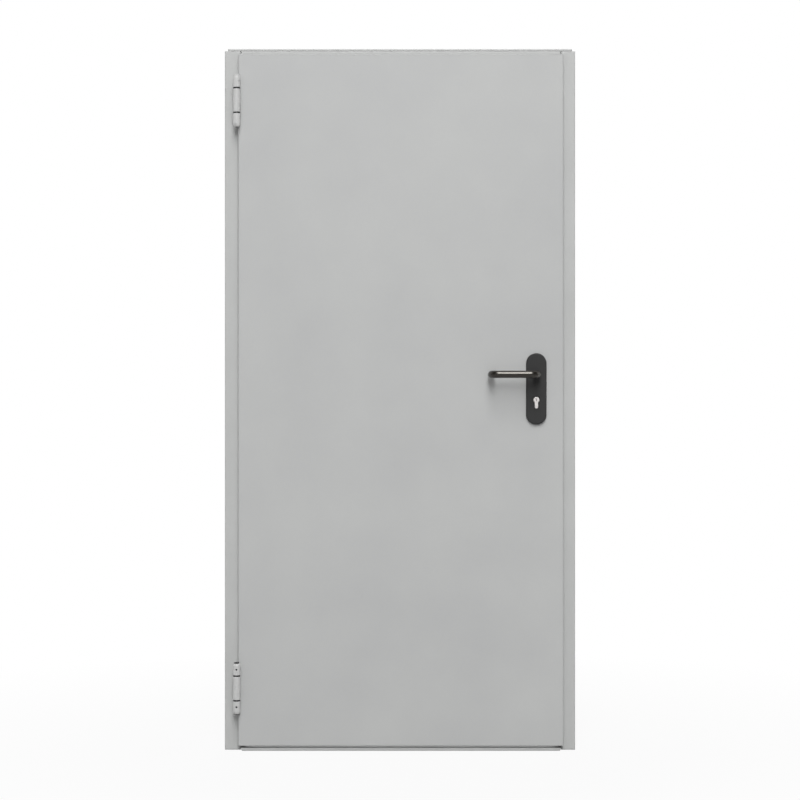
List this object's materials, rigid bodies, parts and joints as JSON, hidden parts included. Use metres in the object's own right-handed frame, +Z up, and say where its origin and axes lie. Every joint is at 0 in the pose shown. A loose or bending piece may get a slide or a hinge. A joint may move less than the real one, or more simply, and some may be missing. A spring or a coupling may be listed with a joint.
{
  "type": "steel utility door",
  "caption": "Rebated sheet-steel utility door in a folded corner frame, hung on barrel hinges, with a black lever handle set and profile cylinder lock.",
  "frame": {"origin": "on the wall face of the hinge jamb's flange, at floor level, straight behind the hinge axis", "axes": "+Z up, +Y into the wall (the front of the door faces -Y), +X from the hinges to the lock"},
  "size_m": [1, 0.171, 2],
  "materials": {
    "leaf_paint": "satin",
    "frame_paint": "satin",
    "sill_paint": "satin",
    "hinge_steel": "satin",
    "pin_steel": "satin",
    "washer_plastic": "matte",
    "seal_rubber": "matte",
    "box_plastic": "matte",
    "plate_plastic": "matte",
    "lever_plastic": "satin",
    "zinc_steel": "satin",
    "nickel": "satin",
    "core_board": "matte"
  },
  "bodies": {
    "frame": {"hinge_jamb": "frame_paint", "lock_jamb": "frame_paint", "head_jamb": "frame_paint", "head_strip": "frame_paint", "sill": "sill_paint", "hinge_corner_bracket": "zinc_steel", "lock_corner_bracket": "zinc_steel", "hinge_seal": "seal_rubber", "lock_seal": "seal_rubber", "head_seal": "seal_rubber", "strike_box": "box_plastic", "top_hinge_upper_knuckle": "hinge_steel", "top_hinge_lower_knuckle": "hinge_steel", "top_hinge_upper_washer": "washer_plastic", "top_hinge_lower_washer": "washer_plastic", "top_hinge_pin": "hinge_steel", "bottom_hinge_upper_knuckle": "hinge_steel", "bottom_hinge_lower_knuckle": "hinge_steel", "bottom_hinge_upper_washer": "washer_plastic", "bottom_hinge_lower_washer": "washer_plastic", "bottom_hinge_pin": "pin_steel"},
    "leaf": {"outer_skin": "leaf_paint", "inner_skin": "leaf_paint", "leaf_core": "core_board", "lock_case": "zinc_steel", "lock_forend": "zinc_steel", "latch_bolt": "zinc_steel", "dead_bolt": "zinc_steel", "profile_cylinder": "nickel", "outer_plate": "plate_plastic", "inner_plate": "plate_plastic", "top_hinge_leaf_knuckle": "hinge_steel", "bottom_hinge_leaf_knuckle": "hinge_steel"},
    "lever_set": {"outer_lever": "lever_plastic", "inner_lever": "lever_plastic", "spindle": "zinc_steel"}
  },
  "joints": [
    {"name": "leaf_swing", "type": "hinge", "parent": "frame", "child": "leaf", "pos_m": [0, -0.0335, 0], "axis": [0, 0, -1], "range_deg": [0, 175], "stiffness_Nm_per_rad": 4, "springref_deg": -68.75},
    {"name": "lever_turn", "type": "hinge", "parent": "leaf", "child": "lever_set", "pos_m": [0.8512, -0.0045, 1.0706], "axis": [0, -1, 0], "range_deg": [0, 40], "stiffness_Nm_per_rad": 1.2, "springref_deg": -28.65}
  ]
}
